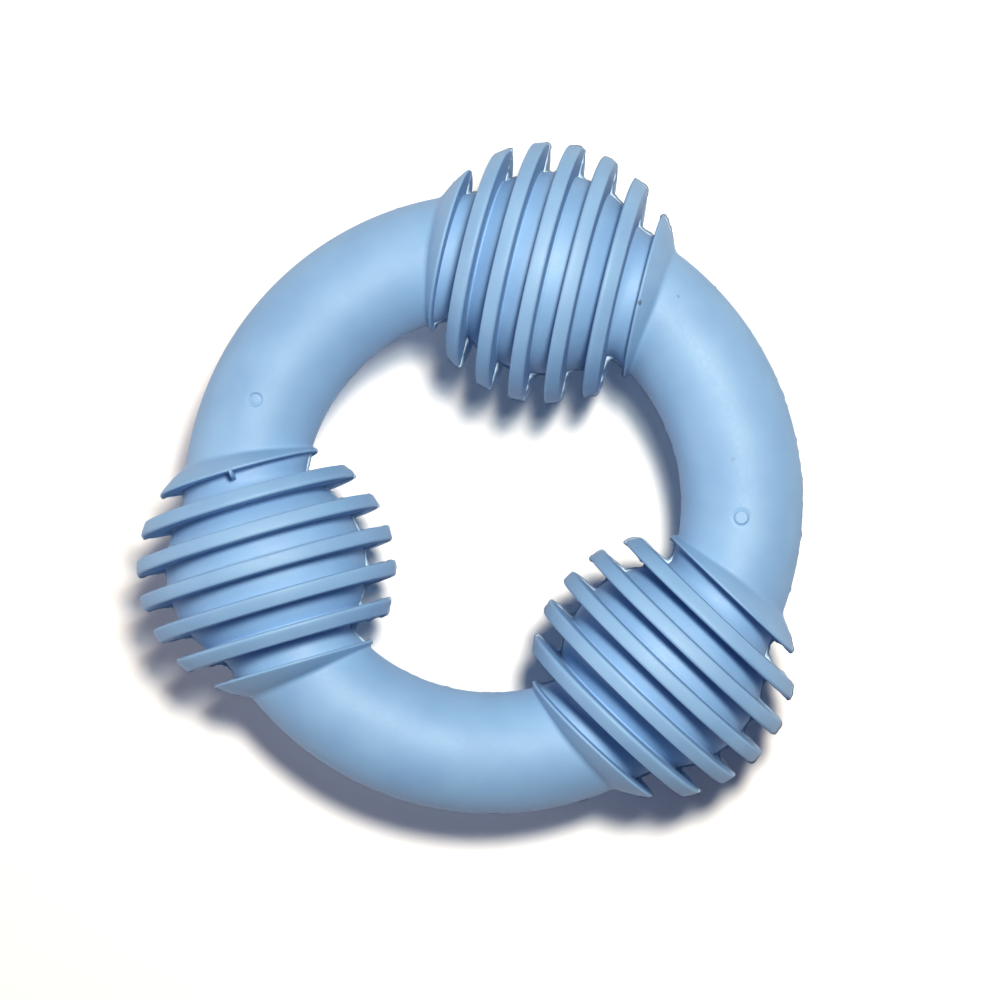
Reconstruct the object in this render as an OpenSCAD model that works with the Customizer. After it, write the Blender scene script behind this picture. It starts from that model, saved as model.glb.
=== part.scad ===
// Rubber chew toy: a round-section ring with three ribbed balls, lying flat.
// Origin at the ring's centre, halfway up. The back ball is on +Y and the other two follow clockwise.
// The toy is one moulding. It is divided here into its arcs, cores, ribs and lips, which meet face to face.

/* [Ring] */
// Radius of the ring, from its centre to the middle of the tube
ring_r = 44; // [43:0.5:50]
// Radius of the ring's round tube
tube_r = 10.6; // [9:0.1:11.2]

/* [Balls] */
// How far the sphere that the rims of the ribs lie on stands above the tube
ball_rise = 12.3; // [11:0.1:13]
// Depth of the grooves between the ribs, below that sphere
groove_depth = 5.2; // [4.4:0.1:5.6]
// How far the flat side of an end lip stands above the tube
lip_rise = 4.4; // [4:0.1:5.2]
// How far a ball lies inside the tube's middle line, as a share of the tube's bow between its two lips
inset_share = 0.68; // [0.6:0.01:0.9]

/* [Ribs] */
// Free ribs on each ball, between its two end lips
free_ribs = 5; // [3:2:5]
// Thickness of a rib
rib_t = 2.6; // [1.8:0.1:3.4]
// Rounding along both edges of a free rib's rim
rim_round = 0.5; // [0.2:0.1:0.8]
// Rounding along the sharp edge of an end lip
lip_round = 0.3; // [0.1:0.05:0.4]

/* [Mould marks] */
// Radius of the two round marks that ejector pins left on top of the tube
mark_r = 1.4; // [0.8:0.1:2]
// Depth of the sunk mark on the left, and height of the raised one on the right
mark_step = 0.2; // [0.1:0.05:0.4]
// Angle round the ring from the middle of the back ball to each mark
mark_angle = 80; // [40:5:80]

/* [Hidden] */
$fn = 96;
rubber_blue = "#a6c8ee";
// Names of the balls, clockwise from +Y, and of the arcs that follow each of them
BALLS = ["back", "right", "left"];
ARCS = ["right", "front", "left"];
ball_step = 360 / len(BALLS);
// Radius of the sphere that the rims of the ribs lie on, and of the inner one, the floor of the grooves
ball_r = tube_r + ball_rise;
core_r = ball_r - groove_depth;
// The flat side of an end lip, which faces the last groove: its radius, and its place along the tube.
// The arcs begin there.
lip_flat_r = tube_r + lip_rise;
lip_face = sqrt(pow(ball_r, 2) - pow(lip_flat_r, 2));
// How far the tube's middle line bows out between the two lips of a ball
tube_bow = ring_r - sqrt(pow(ring_r, 2) - pow(lip_face, 2));
// Middle of a ball, from the ring's axis
ball_dist = ring_r - inset_share * tube_bow;
// Place of the last free rib, counted in ribs from the ball's middle, and distance from one rib to the next
last_rib = (free_ribs - 1) / 2;
rib_pitch = (lip_face + rib_t / 2) / (last_rib + 1);
// Depth of a rounding's centre below the two faces that it joins, as a share of its radius.
// It is under one, so that the rounding crosses both faces and doesn't only graze them.
rounding_share = 0.98;
// How far a cutting shape runs past what it cuts
overrun = 1;

// Carries its children to ball k. There +X runs along the tube, clockwise, and +Y away from the ring's centre.
module at_ball(k) {
    rotate([0, 0, -k * ball_step])
        translate([0, ball_dist, 0])
            children();
}

// The whole round tube of the ring, seen from the middle of a ball
module ring_tube() {
    translate([0, -ball_dist, 0])
        rotate_extrude()
            translate([ring_r, 0])
                circle(r = tube_r);
}

// Turns an outline of radius and place along the tube into a solid round the ball's own axis
module turned() {
    rotate([0, 90, 0])
        rotate_extrude()
            children();
}

// A box across the whole ball, between two places along the tube
module across_ball(from, to) {
    reach = ball_r + overrun;
    translate([from, -reach, -reach])
        cube([to - from, 2 * reach, 2 * reach]);
}

// The sharp tip of a rim outside its rounding. The flat side is at place face and looks towards side.
module rim_tip(face, side, round_r) {
    depth = round_r * rounding_share;
    mid_a = face - side * depth;
    mid_h = sqrt(pow(ball_r - depth, 2) - pow(mid_a, 2));
    // From the rounding's centre one way out goes straight through the flat side, and one through the sphere.
    // The sharper the tip between them, the further away it lies.
    way_round = [mid_h, mid_a] / (ball_r - depth);
    reach = depth / (1 + side * way_round[1]) + overrun;
    out_flat = [0, side * reach];
    out_round = way_round * reach;
    translate([mid_h, mid_a])
        difference() {
            polygon([[0, 0], out_flat, out_flat + out_round, out_round]);
            circle(r = round_r);
        }
}

// Outline of the ball between two places along the tube: a half disc with straight cuts across it
module ball_slice(from, to) {
    intersection() {
        circle(r = ball_r);
        translate([0, from])
            square([ball_r + overrun, to - from]);
    }
}

// A free rib: a flat round disc with its rim on the ball's sphere, seated on the core
module free_rib(i) {
    mid = (i - 1 - last_rib) * rib_pitch;
    low = mid - rib_t / 2;
    high = mid + rib_t / 2;
    color(rubber_blue)
        difference() {
            turned()
                difference() {
                    ball_slice(low, high);
                    circle(r = core_r);
                    rim_tip(low, -1, rim_round);
                    rim_tip(high, 1, rim_round);
                }
            ring_tube();
        }
}

// An end lip: what is left of the ball's sphere beyond the last groove, round the tube
module end_lip(i) {
    side = i == 1 ? -1 : 1;
    color(rubber_blue)
        mirror([side < 0 ? 1 : 0, 0, 0])
            difference() {
                turned()
                    difference() {
                        ball_slice(lip_face, ball_r + overrun);
                        rim_tip(lip_face, -1, lip_round);
                    }
                ring_tube();
            }
}

// A core: the inner sphere with the tube that runs through it, from the flat side of one lip to the other's.
// The sphere is turned so that its two poles lie inside the tube and are cut away, not on the core's skin.
module ball_core() {
    color(rubber_blue)
        intersection() {
            union() {
                rotate([0, 90, 0])
                    sphere(r = core_r);
                ring_tube();
            }
            across_ball(-lip_face, lip_face);
        }
}

// A shape on top of the tube, at an angle clockwise from the middle of the back ball
module on_tube_top(angle) {
    rotate([0, 0, -angle])
        translate([0, ring_r, tube_r])
            children();
}

// The plain tube from the lip of ball k to the lip of the next one
module plain_arc(k) {
    difference() {
        rotate([0, 0, 90 - (k + 1) * ball_step])
            rotate_extrude(angle = ball_step)
                translate([ring_r, 0])
                    circle(r = tube_r);
        at_ball(k)
            across_ball(-lip_face, lip_face);
        at_ball(k + 1)
            across_ball(-lip_face, lip_face);
    }
}

// The arc on the right, with its raised mark
module right_arc() {
    color(rubber_blue)
        union() {
            plain_arc(0);
            on_tube_top(mark_angle)
                translate([0, 0, -tube_r / 2])
                    cylinder(r = mark_r, h = tube_r / 2 + mark_step);
        }
}

// The arc in front, which has no mark
module front_arc() {
    color(rubber_blue)
        plain_arc(1);
}

// The arc on the left, with its sunk mark
module left_arc() {
    color(rubber_blue)
        difference() {
            plain_arc(2);
            on_tube_top(-mark_angle)
                translate([0, 0, -mark_step])
                    cylinder(r = mark_r, h = mark_step + overrun);
        }
}

right_arc();
front_arc();
left_arc();

for (k = [0 : len(BALLS) - 1]) {
    at_ball(k) ball_core();
    for (i = [1 : free_ribs])
        at_ball(k) free_rib(i);
    for (i = [1 : 2])
        at_ball(k) end_lip(i);
}
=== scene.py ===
# %% [markdown]
# # A rubber chew toy, dressed round its CAD frame
# The toy is a round-section ring with three ribbed balls, moulded in one piece from light blue rubber.
# The CAD model gives every size. This script loads it as a fixed frame, reads the sizes back from it, and
# lays a finer piece over each of its solids: ribs with rounded rims and filleted roots, lips that blend into
# the tube, mould marks, and the thin flash that a two-part mould leaves.

# %% Load the fixed frame
import math
import bpy
import numpy as np
from mathutils import Matrix, Vector


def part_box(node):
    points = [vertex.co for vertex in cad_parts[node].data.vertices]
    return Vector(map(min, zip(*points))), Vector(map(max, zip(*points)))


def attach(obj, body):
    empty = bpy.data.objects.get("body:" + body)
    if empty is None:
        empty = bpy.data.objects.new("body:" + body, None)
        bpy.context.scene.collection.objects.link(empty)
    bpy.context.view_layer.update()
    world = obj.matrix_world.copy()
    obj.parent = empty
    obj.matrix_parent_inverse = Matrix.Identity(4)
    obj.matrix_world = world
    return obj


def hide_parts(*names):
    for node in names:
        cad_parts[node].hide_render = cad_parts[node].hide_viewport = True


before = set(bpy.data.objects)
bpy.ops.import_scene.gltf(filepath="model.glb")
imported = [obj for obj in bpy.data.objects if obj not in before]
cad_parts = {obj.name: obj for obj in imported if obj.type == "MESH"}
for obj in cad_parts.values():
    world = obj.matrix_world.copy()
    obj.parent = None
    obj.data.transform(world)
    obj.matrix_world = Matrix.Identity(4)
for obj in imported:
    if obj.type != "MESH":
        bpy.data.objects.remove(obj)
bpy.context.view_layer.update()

# %% [markdown]
# ## Sizes
# Nothing is measured twice. A size that the CAD model has is read from the box of one of its solids, so that
# the looks can't drift from the solids. Only details too small for the CAD model get a size of their own here.
# All lengths are in metres, and MM turns millimetres into them.

# %% Sizes that the frame gives
MM = 0.001
BALLS = ["back", "right", "left"]
ARCS = ["right", "front", "left"]
BALL_STEP = 2 * math.pi / len(BALLS)

low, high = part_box("front_arc")
TUBE_R = high.z
RING_R = -low.y - TUBE_R
low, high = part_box("back_ball_rib_3")
BALL_R = high.z
BALL_DIST = high.y - BALL_R
RIB_T = high.x - low.x
low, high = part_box("back_ball_core")
CORE_R = high.z
LIP_FACE = high.x
low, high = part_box("back_ball_rib_4")
RIB_PITCH = (low.x + high.x) / 2
FREE_RIBS = sum(name.startswith("back_ball_rib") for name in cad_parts)
print("ring", RING_R / MM, "tube", TUBE_R / MM, "ball", BALL_R / MM, "at", BALL_DIST / MM)
print("core", CORE_R / MM, "lip face", LIP_FACE / MM, "pitch", RIB_PITCH / MM, "rib", RIB_T / MM)

# %% [markdown]
# ## Helpers
# Blender's nodes, for shapes and for finishes alike, are added by one small function. Others turn rows of
# points into a mesh, and close it at its two ends. The last but one gives a finished piece its place in the
# model, which body it rides on and whose finish it takes, and hides the CAD solid that the piece stands for.

# %% Helpers
# Where two faces turn by more than this, the edge between them stays crisp
CREASE = math.radians(40)


def add(tree, kind, links=None, **settings):
    """Adds one node. links gives a value, or the output to link, for each input by its name or number."""
    node = tree.nodes.new(kind)
    for key, value in settings.items():
        setattr(node, key, value)
    for key, value in (links or {}).items():
        if isinstance(value, bpy.types.NodeSocket):
            tree.links.new(value, node.inputs[key])
        else:
            node.inputs[key].default_value = value
    return node


def placed(name, data):
    """Puts a mesh, lamp or camera into the scene as an object."""
    piece = bpy.data.objects.new(name, data)
    bpy.context.scene.collection.objects.link(piece)
    return piece


def smoothed(mesh):
    """Shades a mesh smooth, but for its creases."""
    mesh.shade_smooth()
    mesh.set_sharp_from_angle(angle=CREASE)
    return mesh


def mesh_of(name, points, faces):
    """An object with a smooth mesh."""
    mesh = bpy.data.meshes.new(name)
    mesh.from_pydata([tuple(p) for p in points], [], faces)
    mesh.validate()
    return placed(name, smoothed(mesh))


def ring_faces(rows, columns):
    """Quads between rows of points, where each row is a closed loop."""
    faces = []
    for r in range(rows - 1):
        for c in range(columns):
            d = (c + 1) % columns
            faces.append((r * columns + c, r * columns + d, (r + 1) * columns + d, (r + 1) * columns + c))
    return faces


def closed_tube(points, columns, ends):
    """Points and faces of a tube, from rows of points with a fan to a middle point at each of its two ends."""
    rows = len(points) // columns
    last = (rows - 1) * columns
    faces = ring_faces(rows, columns)
    for c in range(columns):
        d = (c + 1) % columns
        faces.append((c, len(points), d))
        faces.append((last + c, last + d, len(points) + 1))
    return np.vstack([points, ends]), faces


def volume(mesh):
    """Signed volume of a closed mesh, which is negative where its faces look inwards."""
    mesh.calc_loop_triangles()
    co = np.array([v.co for v in mesh.vertices])
    tri = np.array([t.vertices for t in mesh.loop_triangles])
    a, b, c = co[tri[:, 0]], co[tri[:, 1]], co[tri[:, 2]]
    return float(np.einsum("ij,ij->i", a, np.cross(b, c)).sum() / 6)


def finished(piece, *nodes):
    """Turns a closed piece's faces outwards, gives it its body and its finish, and hides the CAD solids it
    stands for.
    """
    if volume(piece.data) < 0:
        piece.data.flip_normals()
    if not piece.data.materials:
        piece.data.materials.append(RUBBER)
    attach(piece, "root")
    if nodes:
        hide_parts(*nodes)
    return piece


def ball_turn(k):
    """Carries a piece made round a ball's middle, with +X along the tube, to ball k."""
    return Matrix.Rotation(-k * BALL_STEP, 4, "Z") @ Matrix.Translation((0, BALL_DIST, 0))


# %% [markdown]
# ## The rubber
# The toy is compression moulded from soft natural rubber with white and blue pigment. To the eye that is an
# even, chalky light blue with a broad, faint shine, because the mould was grit blasted and the rubber has a
# thin bloom. The deep grooves look a stronger blue, and need no colour of their own for it: light reaches
# their floor by bouncing from rib to rib, and each bounce takes more of the red away. A picture could be
# wrapped round the toy instead, but it would stretch and show seams. Here shader nodes read Object coordinates,
# and the pieces all sit at the origin, so one pattern runs on over the joins between them as if the toy were a
# single moulding, which the real one is. Thin flash gets a paler colour: painted light, for the light that
# comes through it.

# %% Colours
def linear(hex_colour):
    """Turns an sRGB hex colour into the linear values that the shader works in."""
    values = [int(hex_colour[i:i + 2], 16) / 255 for i in (1, 3, 5)]
    return [v / 12.92 if v <= 0.04045 else ((v + 0.055) / 1.055) ** 2.4 for v in values] + [1.0]


RUBBER_BLUE = "#84aad1"
RUBBER_PALE = "#8bb1d6"
# The flash's paler colours are painted light: they stand for the light that comes through the thin fin
FLASH_BLUE = "#b3d0ea"
FLASH_PALE = "#c3daf0"
# Colour of the dark specks: dirt, and for one of them painted shade
DIRT_AND_SHADE_DARK = "#4d5a68"

# %% Moulded light blue rubber
BLOOM_PATCH = 9 * MM
BLAST_GRAIN = 0.45 * MM
BLAST_DEPTH = 0.05 * MM
BLAST_STRENGTH = 0.12
ROUGHNESS_LEAST, ROUGHNESS_MOST = 0.57, 0.67
RUBBER_IOR = 1.52
BLOOM_SHINE = 0.8

# Dark specks, as place and radius in millimetres, and how dark each is. All but the third are grains of dirt
# pressed into the skin. The third is painted shade: a dark spot for the shadow in a small pit where the flash
# tore, on the front arc beside the right ball's lip. Their edges are ragged and fade out.
SPECK_RAG = 0.5 * MM
SPECK_FADE = 0.25 * MM
DIRT_AND_SHADE_SPECKS = [
    ((17.90, 39.12, 14.06), 0.55, 0.75),
    ((23.83, 42.12, 9.65), 0.38, 0.4),
    # Painted shade: this spot stands for the shadow in a small pit where the flash tore, beside the right
    # ball's lip
    ((32.3, -44.0, 0.5), 0.7, 0.7),
    ((39.56, 17.06, 10.56), 0.5, 0.2),
]


def moulded_rubber(name, blue, pale):
    """Matt rubber from a blasted mould, with dirt in its skin and one dark spot of painted shade. Its colour
    drifts from blue to pale.
    """
    material = bpy.data.materials.new(name)
    material.use_nodes = True
    tree = material.node_tree
    tree.nodes.clear()
    place = add(tree, "ShaderNodeTexCoord").outputs["Object"]
    patches = add(tree, "ShaderNodeTexNoise",
                  {"Vector": place, "Scale": 1 / BLOOM_PATCH, "Detail": 3.0, "Roughness": 0.5})
    grain = add(tree, "ShaderNodeTexNoise",
                {"Vector": place, "Scale": 1 / BLAST_GRAIN, "Detail": 2.0, "Roughness": 0.6})
    ramp = add(tree, "ShaderNodeMapRange", {"Value": patches.outputs["Fac"], 1: 0.35, 2: 0.65})
    colour = add(tree, "ShaderNodeMix", {"Factor": ramp.outputs["Result"], "A": linear(blue),
                                         "B": linear(pale)}, data_type="RGBA").outputs[2]
    ragged = add(tree, "ShaderNodeTexNoise", {"Vector": place, "Scale": 1 / SPECK_RAG})
    # Each speck darkens the colour round its place: dirt for most, painted shade for the one in the torn flash
    for middle, radius, dark in DIRT_AND_SHADE_SPECKS:
        away = add(tree, "ShaderNodeVectorMath", {0: place, 1: Vector(middle) * MM}, operation="DISTANCE")
        away = add(tree, "ShaderNodeMath", {0: ragged.outputs["Fac"], 1: SPECK_RAG, 2: away.outputs["Value"]},
                   operation="MULTIPLY_ADD")
        inside = add(tree, "ShaderNodeMapRange", {
            "Value": away.outputs[0], 1: radius * MM, 2: radius * MM + SPECK_FADE, 3: dark, 4: 0.0})
        colour = add(tree, "ShaderNodeMix", {"Factor": inside.outputs["Result"], "A": colour,
                                             "B": linear(DIRT_AND_SHADE_DARK)}, data_type="RGBA").outputs[2]
    bump = add(tree, "ShaderNodeBump", {
        "Height": grain.outputs["Fac"], "Strength": BLAST_STRENGTH, "Distance": BLAST_DEPTH})
    rough = add(tree, "ShaderNodeMapRange", {
        "Value": grain.outputs["Fac"], 1: 0.3, 2: 0.7, 3: ROUGHNESS_LEAST, 4: ROUGHNESS_MOST})
    shader = add(tree, "ShaderNodeBsdfPrincipled", {
        "Base Color": colour, "Roughness": rough.outputs["Result"], "IOR": RUBBER_IOR,
        "Specular IOR Level": BLOOM_SHINE, "Normal": bump.outputs["Normal"]})
    add(tree, "ShaderNodeOutputMaterial", {"Surface": shader.outputs["BSDF"]})
    return material


RUBBER = moulded_rubber("light_blue_rubber_moulded_matt", RUBBER_BLUE, RUBBER_PALE)
FLASH_RUBBER = moulded_rubber("light_blue_rubber_thin_flash", FLASH_BLUE, FLASH_PALE)
print("materials:", RUBBER.name, FLASH_RUBBER.name)

# %% [markdown]
# ## Growing a piece from a node tree
# Where a shape follows a rule, a Geometry Nodes tree makes it from named sizes. This helper puts the tree on
# an object, sets its inputs, takes the result as a plain mesh and removes the modifier, so that nothing live
# is left.

# %% Growing helper
def grow(name, tree, values, start=None):
    """Runs a node tree, on the mesh start where it needs one, and returns its result as a plain mesh."""
    source = placed(name + "_source", start or bpy.data.meshes.new(name + "_start"))
    modifier = source.modifiers.new(name, "NODES")
    modifier.node_group = tree
    for socket in tree.interface.items_tree:
        if socket.in_out == "INPUT" and socket.name in values:
            modifier[socket.identifier] = values[socket.name]
    source.update_tag()
    shown = source.evaluated_get(bpy.context.evaluated_depsgraph_get())
    mesh = bpy.data.meshes.new_from_object(shown)
    mesh.name = name
    source.modifiers.clear()
    bpy.data.objects.remove(source)
    return mesh


def node_tree(name, sizes):
    """A new Geometry Nodes tree with the inputs sizes, each a name and a kind of socket."""
    tree = bpy.data.node_groups.new(name, "GeometryNodeTree")
    for label, kind in sizes:
        tree.interface.new_socket(label, in_out="INPUT", socket_type="NodeSocket" + kind)
    tree.interface.new_socket("Mesh", in_out="OUTPUT", socket_type="NodeSocketGeometry")
    return tree, add(tree, "NodeGroupInput").outputs


# %% [markdown]
# ## The free ribs
# Each ball has five free ribs, flat discs whose rims lie on one sphere. They could be modelled one by one, or
# cut from a ball. Here one tree draws the cross-section of a rib as nine corners, rounds the corners at the
# rim and fillets those at the root with Fillet Curve, and turns the outline about the ball's axis. The same
# tree makes all fifteen, so a change to a rounding changes them together.

# %% Sizes of a rib's details
RIM_ROUND = 0.5 * MM
ROOT_ROUND = 0.2 * MM
ROOT_FOOT = 0.45 * MM
RIB_SEAT = 1.2 * MM
STEPS_ROUND = 192
CORNER_STEPS = 5

# Corners of a rib's outline: side of the rib, how many feet beyond it, the sphere it lies on, its rounding
RIB_CORNERS = [
    (-1, -1, "Core radius", None),
    (-1, 0, "Core radius", "Root round"),
    (-1, 0, "Ball radius", "Rim round"),
    (0, 0, "Ball radius", None),
    (1, 0, "Ball radius", "Rim round"),
    (1, 0, "Core radius", "Root round"),
    (1, 1, "Core radius", None),
    (1, 1, "Seat radius", None),
    (-1, -1, "Seat radius", None),
]

# %% The tree that turns a rib
rib_tree, size = node_tree("Turned rib", [
    ("Place", "Float"), ("Thickness", "Float"), ("Foot", "Float"), ("Ball radius", "Float"),
    ("Core radius", "Float"), ("Seat radius", "Float"), ("Rim round", "Float"), ("Root round", "Float"),
    ("Corner steps", "Int"), ("Steps round", "Int"), ("Material", "Material")])
index = add(rib_tree, "GeometryNodeInputIndex").outputs[0]
columns = []
for column in range(4):
    pick = add(rib_tree, "GeometryNodeIndexSwitch", data_type="FLOAT")
    while len(pick.index_switch_items) < len(RIB_CORNERS):
        pick.index_switch_items.new()
    rib_tree.links.new(index, pick.inputs[0])
    for i, corner in enumerate(RIB_CORNERS):
        if isinstance(corner[column], str):
            rib_tree.links.new(size[corner[column]], pick.inputs[i + 1])
        else:
            pick.inputs[i + 1].default_value = corner[column] or 0.0
    columns.append(pick.outputs[0])
side, feet, sphere, rounding = columns

half = add(rib_tree, "ShaderNodeMath", {0: size["Thickness"], 1: 0.5}, operation="MULTIPLY").outputs[0]
along = add(rib_tree, "ShaderNodeMath", {0: side, 1: half, 2: size["Place"]},
            operation="MULTIPLY_ADD").outputs[0]
along = add(rib_tree, "ShaderNodeMath", {0: feet, 1: size["Foot"], 2: along},
            operation="MULTIPLY_ADD").outputs[0]
squared = add(rib_tree, "ShaderNodeMath", {0: sphere, 1: sphere}, operation="MULTIPLY").outputs[0]
along_sq = add(rib_tree, "ShaderNodeMath", {0: along, 1: along}, operation="MULTIPLY").outputs[0]
height = add(rib_tree, "ShaderNodeMath", {0: squared, 1: along_sq}, operation="SUBTRACT").outputs[0]
height = add(rib_tree, "ShaderNodeMath", {0: height}, operation="SQRT").outputs[0]
corner_place = add(rib_tree, "ShaderNodeCombineXYZ", {"X": along, "Y": height}).outputs[0]
points = add(rib_tree, "GeometryNodePoints", {"Count": len(RIB_CORNERS), "Position": corner_place})
outline = add(rib_tree, "GeometryNodePointsToCurves", {"Points": points.outputs[0]})
outline = add(rib_tree, "GeometryNodeSetSplineCyclic", {"Geometry": outline.outputs[0], "Cyclic": True})
outline = add(rib_tree, "GeometryNodeFilletCurve", {
    "Curve": outline.outputs[0], "Count": size["Corner steps"], "Radius": rounding, "Limit Radius": True},
    mode="POLY")

# A grid is laid round the axis: its X counts the steps round, and its Y the points of the outline
count = add(rib_tree, "GeometryNodeAttributeDomainSize", {0: outline.outputs[0]}, component="CURVE").outputs[0]
rows = add(rib_tree, "ShaderNodeMath", {0: size["Steps round"], 1: 1.0}, operation="ADD").outputs[0]
lines = add(rib_tree, "ShaderNodeMath", {0: count, 1: 1.0}, operation="ADD").outputs[0]
grid = add(rib_tree, "GeometryNodeMeshGrid", {
    "Size X": 1.0, "Size Y": 1.0, "Vertices X": rows, "Vertices Y": lines})
at = add(rib_tree, "ShaderNodeSeparateXYZ", {0: add(rib_tree, "GeometryNodeInputPosition").outputs[0]})
turn = add(rib_tree, "ShaderNodeMath", {0: at.outputs["X"], 1: 2 * math.pi}, operation="MULTIPLY").outputs[0]
line = add(rib_tree, "ShaderNodeMath", {0: at.outputs["Y"], 1: 0.5}, operation="ADD").outputs[0]
line = add(rib_tree, "ShaderNodeMath", {0: line, 1: count}, operation="MULTIPLY").outputs[0]
line = add(rib_tree, "ShaderNodeMath", {0: line}, operation="ROUND").outputs[0]
line = add(rib_tree, "ShaderNodeMath", {0: line, 1: count}, operation="MODULO").outputs[0]
spot = add(rib_tree, "GeometryNodeSampleIndex", {
    "Geometry": outline.outputs[0], "Value": add(rib_tree, "GeometryNodeInputPosition").outputs[0],
    "Index": line}, data_type="FLOAT_VECTOR")
spot = add(rib_tree, "ShaderNodeSeparateXYZ", {0: spot.outputs[0]}).outputs
sine = add(rib_tree, "ShaderNodeMath", {0: turn}, operation="SINE").outputs[0]
cosine = add(rib_tree, "ShaderNodeMath", {0: turn}, operation="COSINE").outputs[0]
out_y = add(rib_tree, "ShaderNodeMath", {0: spot["Y"], 1: sine}, operation="MULTIPLY").outputs[0]
out_z = add(rib_tree, "ShaderNodeMath", {0: spot["Y"], 1: cosine}, operation="MULTIPLY").outputs[0]
turned = add(rib_tree, "ShaderNodeCombineXYZ", {"X": spot["X"], "Y": out_y, "Z": out_z}).outputs[0]
skin = add(rib_tree, "GeometryNodeSetPosition", {"Geometry": grid.outputs[0], "Position": turned})
skin = add(rib_tree, "GeometryNodeMergeByDistance", {"Geometry": skin.outputs[0], "Distance": 0.001 * MM})
skin = add(rib_tree, "GeometryNodeRealizeInstances", {"Geometry": skin.outputs[0]})
skin = add(rib_tree, "GeometryNodeSetMaterial", {"Geometry": skin.outputs[0], "Material": size["Material"]})
add(rib_tree, "NodeGroupOutput", {0: skin.outputs[0]})
print("rib tree:", len(rib_tree.nodes), "nodes")

# %% The fifteen ribs
for k, ball in enumerate(BALLS):
    for i in range(1, FREE_RIBS + 1):
        node = f"{ball}_ball_rib_{i}"
        mesh = grow(node + "_moulded", rib_tree, {
            "Place": (i - (FREE_RIBS + 1) / 2) * RIB_PITCH, "Thickness": RIB_T, "Foot": ROOT_FOOT,
            "Ball radius": BALL_R, "Core radius": CORE_R, "Seat radius": CORE_R - RIB_SEAT,
            "Rim round": RIM_ROUND, "Root round": ROOT_ROUND, "Corner steps": CORNER_STEPS,
            "Steps round": STEPS_ROUND, "Material": RUBBER})
        mesh.transform(ball_turn(k))
        finished(placed(node + "_moulded", smoothed(mesh)), node)
print("a rib has", len(mesh.polygons), "faces")

# %% [markdown]
# ## The cores
# Between the ribs shows the floor of the grooves. It is the inner sphere of the ball with the ring's tube
# running through it, and the two meet in a soft hollow, because a cutter made the mould. A boolean would give a
# hard crease and long thin faces. Instead the skin is found point by point: from the ball's axis a ray goes
# out, and the surface is where a smooth blend of the two distances is zero.

# %% Distances and the blend
# The skin is looked for from a place inside the tube to one outside the ball, halving the stretch each time
HALVINGS = 44
SKIN_LEAST = 3 * MM
BEYOND_BALL = 6 * MM


def to_sphere(x, y, z, radius):
    return np.sqrt(x * x + y * y + z * z) - radius


def to_tube(x, y, z):
    return np.hypot(np.hypot(x, y + BALL_DIST) - RING_R, z) - TUBE_R


def blended(a, b, width):
    """The smaller of two distances, rounded off where they differ by less than width."""
    h = np.clip(0.5 + 0.5 * (b - a) / width, 0, 1)
    return b + (a - b) * h - width * h * (1 - h)


def halved(shape, low, high, inside):
    """Closes in on the places between low and high up to which the test inside holds."""
    low, high = np.full(shape, low), np.full(shape, high)
    for _ in range(HALVINGS):
        mid = (low + high) / 2
        holds = inside(mid)
        low = np.where(holds, mid, low)
        high = np.where(holds, high, mid)
    return (low + high) / 2


def skin_height(x, angle, distance):
    """How far from the ball's axis, at the place x along it, the skin lies in the direction angle."""
    return halved(np.broadcast(x, angle).shape, SKIN_LEAST, BALL_R + BEYOND_BALL,
                  lambda height: distance(x, height * np.cos(angle), height * np.sin(angle)) < 0)


# %% The three cores
CORE_BLEND = 1.5 * MM
CORE_STATIONS = 110
ROUND = np.linspace(0, 2 * math.pi, STEPS_ROUND, endpoint=False)


def core_distance(x, y, z):
    return blended(to_sphere(x, y, z, CORE_R), to_tube(x, y, z), CORE_BLEND)


stations = LIP_FACE * np.sin(np.linspace(-0.5, 0.5, CORE_STATIONS) * math.pi)
heights = skin_height(stations[:, None], ROUND[None, :], core_distance)
core_points = np.stack([np.broadcast_to(stations[:, None], heights.shape),
                        heights * np.cos(ROUND), heights * np.sin(ROUND)], axis=-1).reshape(-1, 3)
core_points, core_faces = closed_tube(core_points, STEPS_ROUND, [(-LIP_FACE, 0, 0), (LIP_FACE, 0, 0)])
for k, ball in enumerate(BALLS):
    core = mesh_of(f"{ball}_ball_core_moulded", core_points, core_faces)
    core.data.transform(ball_turn(k))
    finished(core, f"{ball}_ball_core")
print("a core has", len(core_faces), "faces")

# %% [markdown]
# ## The end lips
# Beyond the last groove the ball's sphere runs down to the tube as a lip: a sharp edge with a flat side
# towards the groove, a round face, and a small fillet where it meets the tube. A blend of two distances gives
# that fillet too. The lip's outline changes all the way round, because the tube is curved, so each of its
# sections is worked out by itself: up the flat side, round the edge, down the face, and out along the tube
# to the place where the fillet ends.

# %% One lip, as sections round the ball's axis
LIP_ROUND = 0.3 * MM
LIP_FILLET = 0.6 * MM
LIP_UNDER = 0.8 * MM
FLAT_STEPS, EDGE_STEPS, FACE_STEPS = 5, 7, 34


def lip_distance(x, y, z):
    return blended(to_sphere(x, y, z, BALL_R), to_tube(x, y, z), LIP_FILLET)


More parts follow.
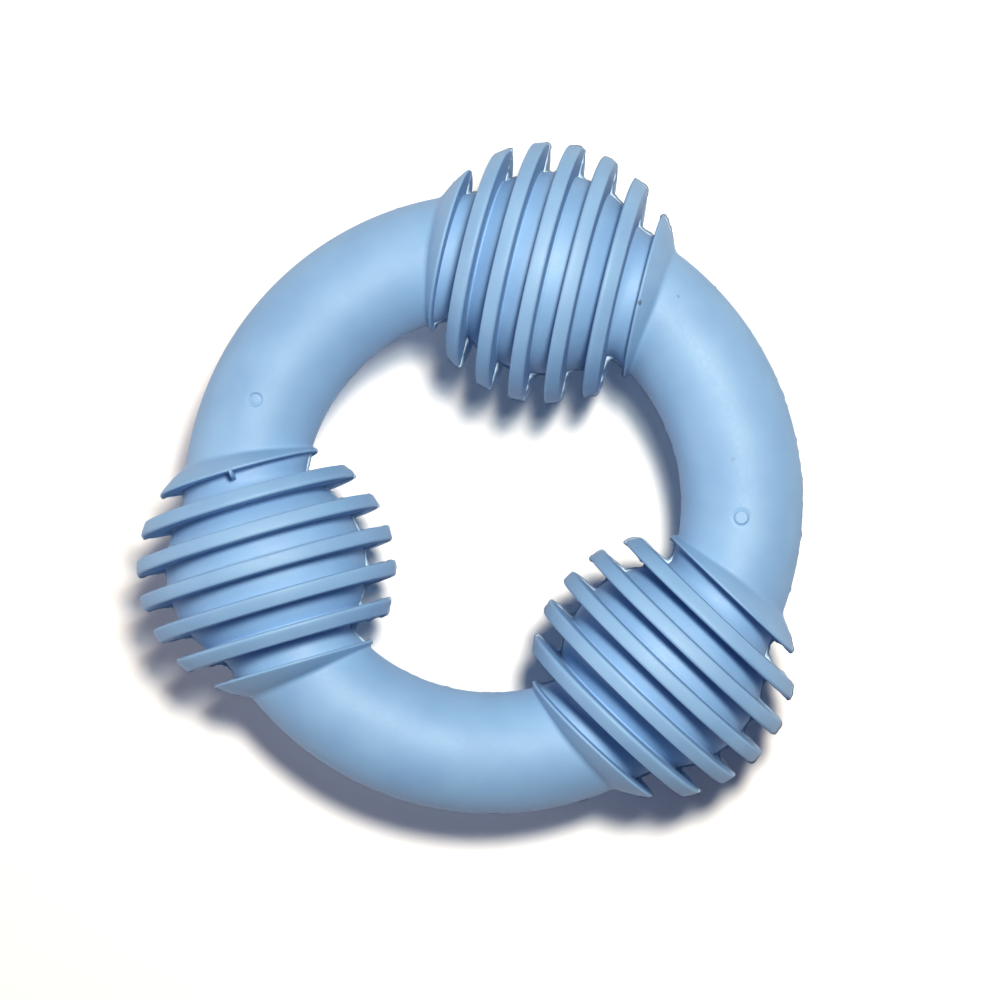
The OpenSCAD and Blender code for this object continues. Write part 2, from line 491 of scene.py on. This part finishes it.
def lip_sections():
    """Places along the axis and heights above it, for each section round the lip."""
    angle = ROUND[None, :]
    foot = halved(angle.shape, LIP_FACE, BALL_R + BEYOND_BALL,
                  lambda place: np.hypot(place, skin_height(place, angle, to_tube)) < BALL_R + LIP_FILLET)
    edge_x = LIP_FACE + LIP_ROUND
    edge_h = math.sqrt((BALL_R - LIP_ROUND) ** 2 - edge_x ** 2)
    flat_low = skin_height(np.full(angle.shape, LIP_FACE), angle, to_tube) - LIP_UNDER
    share = np.linspace(0, 1, FLAT_STEPS)[:, None]
    flat_x = np.full((FLAT_STEPS, STEPS_ROUND), LIP_FACE)
    flat_h = flat_low + (edge_h - flat_low) * share
    way = np.linspace(math.pi, math.atan2(edge_h, edge_x), EDGE_STEPS + 1)[1:, None]
    edge = (edge_x + LIP_ROUND * np.cos(way) + 0 * angle, edge_h + LIP_ROUND * np.sin(way) + 0 * angle)
    start = edge[0][-1]
    share = np.linspace(0, 1, FACE_STEPS + 1)[1:, None]
    face_x = start + (foot - start) * share
    face_h = skin_height(face_x, angle, lip_distance)
    under_h = skin_height(foot, angle, to_tube) - LIP_UNDER
    return (np.vstack([flat_x, edge[0], face_x, foot]), np.vstack([flat_h, edge[1], face_h, under_h]))


lip_x, lip_h = lip_sections()
lip_points = np.stack([lip_x, lip_h * np.cos(ROUND), lip_h * np.sin(ROUND)], axis=-1).reshape(-1, 3)
lip_rows = len(lip_x)
lip_faces = ring_faces(lip_rows, STEPS_ROUND)
closing = (lip_rows - 1) * STEPS_ROUND
for c in range(STEPS_ROUND):
    d = (c + 1) % STEPS_ROUND
    lip_faces.append((closing + c, closing + d, d, c))

# %% The six lips
for k, ball in enumerate(BALLS):
    for i, way in ((1, -1), (2, 1)):
        lip = mesh_of(f"{ball}_ball_lip_{i}_moulded", lip_points * (way, 1, 1), lip_faces)
        lip.data.transform(ball_turn(k))
        finished(lip, f"{ball}_ball_lip_{i}")
print("a lip has", len(lip_faces), "faces")
print("its fillet ends", lip_x[-1].min() / MM, "to", lip_x[-1].max() / MM, "mm along the tube")

# %% [markdown]
# ## The ring's arcs
# Three plain lengths of tube join the balls. A swept circle would end square to its path, but an arc ends at
# the flat sides of two lips, which aren't square to it. So each line along the tube is laid out by itself
# from one flat side to the other. Two of the arcs carry a round mark on top, where an ejector pin pushed the
# toy out of the mould: the one on the left is sunk and the one on the right stands proud. The pin's edge
# pressed a fine groove round the foot of each. The lines run closer together near the mark, so that its edge is
# crisp without a fine mesh everywhere.

# %% Arcs
MARK_R = 1.4 * MM
MARK_STEP = 0.2 * MM
MARK_EDGE = 0.45 * MM
MARK_GROOVE = 0.12 * MM
MARK_GROOVE_HALF = 0.22 * MM
MARK_FINE = 2.4 * MM
MARK_ANGLE = math.radians(80)
ARC_LINES = 168


def gathered(count, middle, reach):
    """Spreads count places from 0 to 1, five times as close together within reach of the place middle."""
    place = np.linspace(0, 1, 2001)
    walked = np.cumsum(1 + 4 * np.exp(-((place - middle) / reach) ** 4))
    walked = (walked - walked[0]) / (walked[-1] - walked[0])
    return np.interp(np.linspace(0, 1, count), walked, place)


def arc_points(k, mark):
    """Points of the arc after ball k. mark is +1 for a raised mark, -1 for a sunk one, and 0 for none."""
    start = k * BALL_STEP
    mark_at = MARK_ANGLE if mark > 0 else 2 * math.pi - MARK_ANGLE
    share = np.linspace(0, 1, ARC_LINES + 1)
    round_share = np.linspace(0, 1, ARC_LINES, endpoint=False)
    if mark:
        reach = math.asin(LIP_FACE / RING_R)
        length = BALL_STEP - 2 * reach
        share = gathered(ARC_LINES + 1, (mark_at - start - reach) / length, MARK_FINE / (RING_R * length))
        round_share = gathered(ARC_LINES + 1, 0.5, MARK_FINE / (2 * math.pi * TUBE_R))[:-1]
    minor = 2 * math.pi * round_share[None, :] - math.pi / 2
    across = RING_R + TUBE_R * np.cos(minor)
    begin = np.arcsin(LIP_FACE / across)
    turn = start + begin + share[:, None] * (BALL_STEP - 2 * begin)
    x, y = across * np.sin(turn), across * np.cos(turn)
    z = TUBE_R * np.sin(minor) + 0 * turn
    if mark:
        away = np.hypot(x - RING_R * math.sin(mark_at), y - RING_R * math.cos(mark_at))
        inside = np.clip((MARK_R - away) / MARK_EDGE, 0, 1)
        inside = inside * inside * (3 - 2 * inside) * (z > 0)
        z = z + (TUBE_R + mark * MARK_STEP - z) * inside
        foot = MARK_R if mark > 0 else MARK_R - MARK_EDGE
        z = z - MARK_GROOVE * np.exp(-((away - foot) / MARK_GROOVE_HALF) ** 2) * (z > 0)
    return np.stack([x, y, z], axis=-1).reshape(-1, 3)


for k, (arc, mark) in enumerate(zip(ARCS, (1, 0, -1))):
    points = arc_points(k, mark)
    ends = [points[:ARC_LINES].mean(axis=0), points[-ARC_LINES:].mean(axis=0)]
    points, faces = closed_tube(points, ARC_LINES, ends)
    finished(mesh_of(f"{arc}_arc_moulded", points, faces), f"{arc}_arc")
print("an arc has", len(faces), "faces")

# %% [markdown]
# ## The parting flash
# The two halves of the mould meet halfway up the toy. There the rubber squeezed out into a thin ragged fin,
# which was only roughly trimmed: it shows as a light edge round the toy, and as small webs in the corners of
# the grooves. Modelling it by hand would take a point for every rag. Here the toy's outline at that height is
# laid out as a line, and a tree grows the fin on it. Blurring the line along itself pulls it out of the inner
# corners, which is just where flash stays when it is trimmed, and a noise texture gives the ragged width.
# The back ball's flash is the widest, and the arcs, which are easy to trim, have hardly any.

# %% Sizes of the flash
FLASH_STEP = 0.2 * MM
FLASH_THICK = 0.14 * MM
FLASH_SUNK = 0.35 * MM
FLASH_TAPER = 1.2 * MM
FLASH_RAG = 1.7 * MM
FLASH_SEED = 7.0
# Narrowest width, widest width, and how many times the line is blurred for the webs
BALL_FLASH = {
    "back": (0.04 * MM, 0.55 * MM, 70),
    "right": (0.04 * MM, 0.45 * MM, 70),
    "left": (0.04 * MM, 0.45 * MM, 70),
}
ARC_FLASH = (-0.12 * MM, 0.22 * MM, 4)

# %% The tree that grows the flash
flash_tree, size = node_tree("Parting flash", [
    ("Outline", "Geometry"), ("Step", "Float"), ("Thickness", "Float"), ("Sunk", "Float"), ("Taper", "Float"),
    ("Narrowest", "Float"), ("Widest", "Float"), ("Rag length", "Float"), ("Web steps", "Int"),
    ("Seed", "Float"), ("Material", "Material")])
line = add(flash_tree, "GeometryNodeMeshToCurve", {0: size["Outline"]})
line = add(flash_tree, "GeometryNodeResampleCurve", {"Curve": line.outputs[0], "Length": size["Step"]},
           mode="LENGTH")
place = add(flash_tree, "GeometryNodeInputPosition").outputs[0]
pulled = add(flash_tree, "GeometryNodeBlurAttribute", {"Value": place, "Iterations": size["Web steps"]},
             data_type="FLOAT_VECTOR").outputs[0]
along = add(flash_tree, "GeometryNodeInputTangent").outputs[0]
along = add(flash_tree, "GeometryNodeBlurAttribute", {"Value": along, "Iterations": 3},
            data_type="FLOAT_VECTOR").outputs[0]
out = add(flash_tree, "ShaderNodeVectorMath", {0: (0, 0, 1), 1: along}, operation="CROSS_PRODUCT").outputs[0]
out = add(flash_tree, "ShaderNodeVectorMath", {0: out}, operation="NORMALIZE").outputs[0]

# The web is the way from the line to its blurred self, kept only where that leads out of the rubber
web = add(flash_tree, "ShaderNodeVectorMath", {0: pulled, 1: place}, operation="SUBTRACT").outputs[0]
leads_out = add(flash_tree, "ShaderNodeVectorMath", {0: web, 1: out}, operation="DOT_PRODUCT").outputs["Value"]
kept = add(flash_tree, "ShaderNodeMapRange", {"Value": leads_out, 1: 0.0, 2: 0.05 * MM}).outputs[0]

# The ragged width comes from noise along the line, and both fade to nothing at the line's ends
rag = add(flash_tree, "ShaderNodeMath", {0: 1.0, 1: size["Rag length"]}, operation="DIVIDE").outputs[0]
rag = add(flash_tree, "ShaderNodeTexNoise", {"Vector": place, "W": size["Seed"], "Scale": rag, "Detail": 3.0},
          noise_dimensions="4D")
width = add(flash_tree, "ShaderNodeMapRange", {
    "Value": rag.outputs[0], 1: 0.38, 2: 0.7, 3: size["Narrowest"], 4: size["Widest"]}).outputs[0]
share = add(flash_tree, "GeometryNodeSplineParameter").outputs
whole = add(flash_tree, "ShaderNodeMath", {0: share["Length"], 1: share["Factor"]},
            operation="DIVIDE").outputs[0]
left = add(flash_tree, "ShaderNodeMath", {0: whole, 1: share["Length"]}, operation="SUBTRACT").outputs[0]
fade = add(flash_tree, "ShaderNodeMath", {0: left, 1: share["Length"]}, operation="MINIMUM").outputs[0]
fade = add(flash_tree, "ShaderNodeMath", {0: fade, 1: size["Taper"]}, operation="DIVIDE").outputs[0]
fade = add(flash_tree, "ShaderNodeClamp", {0: fade}).outputs[0]
web = add(flash_tree, "ShaderNodeVectorMath", {0: web, "Scale": kept}, operation="SCALE").outputs[0]
web = add(flash_tree, "ShaderNodeVectorMath", {0: web, "Scale": fade}, operation="SCALE").outputs[0]
narrow = add(flash_tree, "ShaderNodeMath", {0: width, 1: size["Narrowest"]}, operation="SUBTRACT").outputs[0]
width = add(flash_tree, "ShaderNodeMath", {0: narrow, 1: fade, 2: size["Narrowest"]},
            operation="MULTIPLY_ADD").outputs[0]
edge = add(flash_tree, "ShaderNodeVectorMath", {0: out, "Scale": width}, operation="SCALE").outputs[0]
edge = add(flash_tree, "ShaderNodeVectorMath", {0: edge, 1: web}, operation="ADD").outputs[0]
edge = add(flash_tree, "ShaderNodeVectorMath", {0: edge, 1: place}, operation="ADD").outputs[0]
root = add(flash_tree, "ShaderNodeVectorMath", {0: out, "Scale": size["Sunk"]}, operation="SCALE").outputs[0]
root = add(flash_tree, "ShaderNodeVectorMath", {0: place, 1: root}, operation="SUBTRACT").outputs[0]

# Three-sided along the line: corner 0 is the thin edge, and 1 and 2 are the root's top and bottom in the rubber
kept = add(flash_tree, "GeometryNodeCaptureAttribute")
kept.capture_items.new("VECTOR", "Edge")
kept.capture_items.new("VECTOR", "Root")
for socket, value in zip(kept.inputs, (line.outputs[0], edge, root)):
    flash_tree.links.new(value, socket)
corner = add(flash_tree, "GeometryNodeCurvePrimitiveCircle", {"Resolution": 3, "Radius": size["Thickness"]})
numbered = add(flash_tree, "GeometryNodeCaptureAttribute")
numbered.capture_items.new("INT", "Corner")
number = add(flash_tree, "GeometryNodeInputIndex").outputs[0]
for socket, value in zip(numbered.inputs, (corner.outputs[0], number)):
    flash_tree.links.new(value, socket)
fin = add(flash_tree, "GeometryNodeCurveToMesh", {
    "Curve": kept.outputs[0], "Profile Curve": numbered.outputs[0], "Fill Caps": True})
lift = add(flash_tree, "GeometryNodeIndexSwitch", data_type="FLOAT")
lift.index_switch_items.new()
for socket, value in zip(lift.inputs[1:4], (0.0, 0.5, -0.5)):
    socket.default_value = value
flash_tree.links.new(numbered.outputs[1], lift.inputs[0])
lift = add(flash_tree, "ShaderNodeMath", {0: lift.outputs[0], 1: size["Thickness"]},
           operation="MULTIPLY").outputs[0]
lift = add(flash_tree, "ShaderNodeCombineXYZ", {"Z": lift}).outputs[0]
at_root = add(flash_tree, "ShaderNodeMath", {0: numbered.outputs[1], 1: 0.5},
              operation="GREATER_THAN").outputs[0]
spot = add(flash_tree, "ShaderNodeMix", {"Factor": at_root, "A": kept.outputs[1], "B": kept.outputs[2]},
           data_type="VECTOR").outputs[1]
fin = add(flash_tree, "GeometryNodeSetPosition", {"Geometry": fin.outputs[0], "Position": spot, "Offset": lift})
fin = add(flash_tree, "GeometryNodeRealizeInstances", {"Geometry": fin.outputs[0]})
fin = add(flash_tree, "GeometryNodeSetMaterial", {"Geometry": fin.outputs[0], "Material": size["Material"]})
add(flash_tree, "NodeGroupOutput", {0: fin.outputs[0]})
print("flash tree:", len(flash_tree.nodes), "nodes")

# %% The toy's outline at half height
FLOOR_STEPS = 12
ARC_OUTLINE_STEPS = 240
# A rim's rounding, from its flat side inwards: how far along it and how far down, as shares of its radius
RIM_WALK = np.array([(0, 0.9), (0.3, 0.25), (1, 0)])
# The lip's flat side is met this far inside the core's end, and starts this far above the groove's floor
CORE_END_GAP = 0.01 * MM
LIP_START = 0.05 * MM


def ball_outline(side):
    """The outline of a ball at half height: on the side away from the ring's centre, or on the near side."""
    column = 0 if side > 0 else STEPS_ROUND // 2
    angle = ROUND[column]
    lip = np.stack([lip_x[:-1, column], lip_h[:-1, column]], axis=1)
    floor_height = skin_height(np.array(LIP_FACE - CORE_END_GAP), np.array(angle), core_distance)
    lip = np.vstack([[LIP_FACE, floor_height], lip[lip[:, 1] > floor_height + LIP_START]])
    walk = [lip[::-1] * (-1, 1)]
    groove = -LIP_FACE
    for i in range(FREE_RIBS):
        middle = (i - (FREE_RIBS - 1) / 2) * RIB_PITCH
        low, high = middle - RIB_T / 2, middle + RIB_T / 2
        floor_x = np.linspace(groove, low, FLOOR_STEPS)
        walk.append(np.stack([floor_x, skin_height(floor_x, angle, core_distance)], axis=1))
        rounding = RIM_ROUND * np.vstack([RIM_WALK, RIM_WALK[::-1] * (-1, 1)])
        rim_x = np.repeat([low, high], len(RIM_WALK)) + rounding[:, 0]
        rim_h = np.sqrt(BALL_R ** 2 - rim_x ** 2) - rounding[:, 1]
        walk.append(np.stack([rim_x, rim_h], axis=1))
        groove = high
    floor_x = np.linspace(groove, LIP_FACE, FLOOR_STEPS)
    walk += [np.stack([floor_x, skin_height(floor_x, angle, core_distance)], axis=1), lip]
    walk = np.vstack(walk) * (1, side)
    return walk if side > 0 else walk[::-1]


def arc_outline(k, side):
    """The outline of the arc after ball k at half height, clockwise on the outside and back on the inside."""
    column = 0 if side > 0 else STEPS_ROUND // 2
    foot_x = lip_x[-1, column]
    foot_h = skin_height(np.array([foot_x]), ROUND[column], to_tube)[0]
    gap = math.atan2(foot_x, BALL_DIST + side * foot_h)
    turn = np.linspace(k * BALL_STEP + gap, (k + 1) * BALL_STEP - gap, ARC_OUTLINE_STEPS)
    walk = (RING_R + side * TUBE_R) * np.stack([np.sin(turn), np.cos(turn)], axis=1)
    return walk if side > 0 else walk[::-1]


def line_mesh(name, walks, place=None):
    """A mesh of bare edges that follows each walk of points in the plane z = 0."""
    mesh = bpy.data.meshes.new(name)
    points = [(x, y, 0.0) for walk in walks for x, y in walk]
    edges, first = [], 0
    for walk in walks:
        edges += [(i, i + 1) for i in range(first, first + len(walk) - 1)]
        first += len(walk)
    mesh.from_pydata(points, edges, [])
    if place is not None:
        mesh.transform(place)
    return mesh


# %% Six pieces of flash
def add_flash(name, outline, narrowest, widest, web_steps):
    mesh = grow(name, flash_tree, {
        "Step": FLASH_STEP, "Thickness": FLASH_THICK, "Sunk": FLASH_SUNK, "Taper": FLASH_TAPER,
        "Narrowest": narrowest, "Widest": widest, "Rag length": FLASH_RAG, "Web steps": web_steps,
        "Seed": FLASH_SEED, "Material": FLASH_RUBBER}, outline)
    print(name, len(mesh.polygons), "faces, volume", round(volume(mesh) / MM ** 3, 2), "mm3")
    finished(placed(name, mesh))


for k, ball in enumerate(BALLS):
    outline = line_mesh(f"{ball}_ball_outline", [ball_outline(1), ball_outline(-1)], ball_turn(k))
    add_flash(f"{ball}_ball_flash", outline, *BALL_FLASH[ball])
for k, arc in enumerate(ARCS):
    outline = line_mesh(f"{arc}_arc_outline", [arc_outline(k, 1), arc_outline(k, -1)])
    add_flash(f"{arc}_arc_flash", outline, *ARC_FLASH)

# %% [markdown]
# ## The gusset from a nicked mould
# One of the mould's fins had lost a chip, so on the left ball a small wall of rubber crosses the groove beside
# the upper lip. It is a single odd detail, so it is built directly: rounded cross-sections, like an upturned U,
# stand one behind the other along its top line, which slopes from the lip's rim to the groove's floor.

# %% Gusset
# Points of its top line in millimetres: place along the tube from the ball's middle, and height above the axis
GUSSET_TOP = [(17.7, 14.7), (17.3, 14.85), (17.0, 14.8), (16.7, 14.65), (16.4, 14.3), (16.15, 13.7),
              (16.0, 12.6), (15.9, 10.9)]
GUSSET_HALF = 0.3 * MM
GUSSET_FOOT = 10.2 * MM
GUSSET_LEAN = math.radians(93.3)
ARCH_STEPS = 8
# The gusset is thinnest at its foot, at this share of its thickness, and thickens as it rises by this much
GUSSET_THIN = 0.45
GUSSET_SWELL = 3 * MM

arch = np.linspace(math.pi, 0, ARCH_STEPS + 1)
gusset_points = []
for along, top in np.array(GUSSET_TOP) * MM:
    half = GUSSET_HALF * min(1, GUSSET_THIN + (top - GUSSET_FOOT) / GUSSET_SWELL)
    across = [-half, *(half * np.cos(arch)), half]
    heights = [GUSSET_FOOT, *(top - half + half * np.sin(arch)), GUSSET_FOOT]
    for side, height in zip(across, heights):
        gusset_points.append((along, height * math.cos(GUSSET_LEAN) + side * math.sin(GUSSET_LEAN),
                              height * math.sin(GUSSET_LEAN) - side * math.cos(GUSSET_LEAN)))
section = ARCH_STEPS + 3
gusset_faces = ring_faces(len(GUSSET_TOP), section)
gusset_faces += [tuple(range(section))[::-1], tuple(range(len(gusset_points) - section, len(gusset_points)))]
gusset = mesh_of("left_ball_gusset", gusset_points, gusset_faces)
gusset.data.transform(ball_turn(2))
finished(gusset)
print("gusset:", len(gusset_faces), "faces")

# %% [markdown]
# ## Floor, light and camera
# The toy lies on a white table. Its soft shadows fall towards the near left and overlap in two shades, which
# one lamp can't give. So two soft round lamps hang on the far side, a little to the right, one higher than the
# other, a weak wide one fills in low from the left, and a dim bluish room light keeps the shadows open. The
# camera looks almost straight down from half a metre, turned a little about the ring's axis.

# %% Floor
FLOOR_HALF = 1.5
TABLE_WHITE = "#f7f8fb"
TABLE_ROUGHNESS = 0.8
floor = mesh_of("table_top", [(x * FLOOR_HALF, y * FLOOR_HALF, -BALL_R) for x, y in
                              ((-1, -1), (1, -1), (1, 1), (-1, 1))], [(0, 1, 2, 3)])
white = bpy.data.materials.new("white_table_lacquered")
white.use_nodes = True
shader = white.node_tree.nodes["Principled BSDF"]
shader.inputs["Base Color"].default_value = linear(TABLE_WHITE)
shader.inputs["Roughness"].default_value = TABLE_ROUGHNESS
shader.inputs["Specular IOR Level"].default_value = 0.0
floor.data.materials.append(white)

# %% Camera
# Place, direction and upward direction of the camera are given before the turn about the ring's axis
VIEW_TURN = Matrix.Rotation(math.radians(13.76), 3, "Z")
CAMERA_PLACE = Vector((43.386, -10.867, 510.247)) * MM
CAMERA_LOOK = Vector((-0.08171, 0.02207, -0.99641))
CAMERA_UP = Vector((0.00180, 0.99976, 0.02200))
CAMERA_LENS = 104.68
SENSOR_WIDTH = 36
CLIP_NEAR, CLIP_FAR = 0.01, 20

camera = placed("camera", bpy.data.cameras.new("camera"))
look = (VIEW_TURN @ CAMERA_LOOK).normalized()
right = look.cross(VIEW_TURN @ CAMERA_UP).normalized()
up = right.cross(look)
camera.matrix_world = (Matrix.Translation(VIEW_TURN @ CAMERA_PLACE)
                       @ Matrix((right, up, -look)).transposed().to_4x4())
camera.data.sensor_width = SENSOR_WIDTH
camera.data.lens = CAMERA_LENS
camera.data.clip_start, camera.data.clip_end = CLIP_NEAR, CLIP_FAR
bpy.context.scene.camera = camera

# %% Light
# Where each lamp hangs, as the camera sees it from the toy's middle: right, away and up. Then come its radius,
# and how bright it makes a white table there, in red, green and blue.
LAMPS = [
    ("far_soft_lamp", (0.14, 0.17, 0.70), 0.054, (0.824, 0.731, 0.595)),
    ("near_soft_lamp", (0.08, 0.06, 0.39), 0.030, (0.474, 0.484, 0.445)),
    ("left_fill_lamp", (-0.66, 0.00, 0.22), 0.200, (0.110, 0.100, 0.090)),
]
ROOM_LIGHT = (0.056, 0.068, 0.128, 1.0)
PICTURE_GAMMA = 0.85

for name, place, radius, light in LAMPS:
    place = VIEW_TURN @ Vector(place)
    lamp = placed(name, bpy.data.lights.new(name, "AREA"))
    lamp.data.shape = "DISK"
    lamp.data.size = 2 * radius
    lamp.data.energy = math.pi ** 2 * place.length ** 3 / place.z * max(light)
    lamp.data.color = [value / max(light) for value in light]
    lamp.location = place
    lamp.rotation_mode = "QUATERNION"
    lamp.rotation_quaternion = place.to_track_quat("Z", "Y")
    print(name, round(lamp.data.energy, 2), "W")

world = bpy.data.worlds.new("pale_room")
world.use_nodes = True
world.node_tree.nodes["Background"].inputs["Color"].default_value = ROOM_LIGHT
bpy.context.scene.world = world
bpy.context.scene.view_settings.view_transform = "Standard"
bpy.context.scene.view_settings.gamma = PICTURE_GAMMA
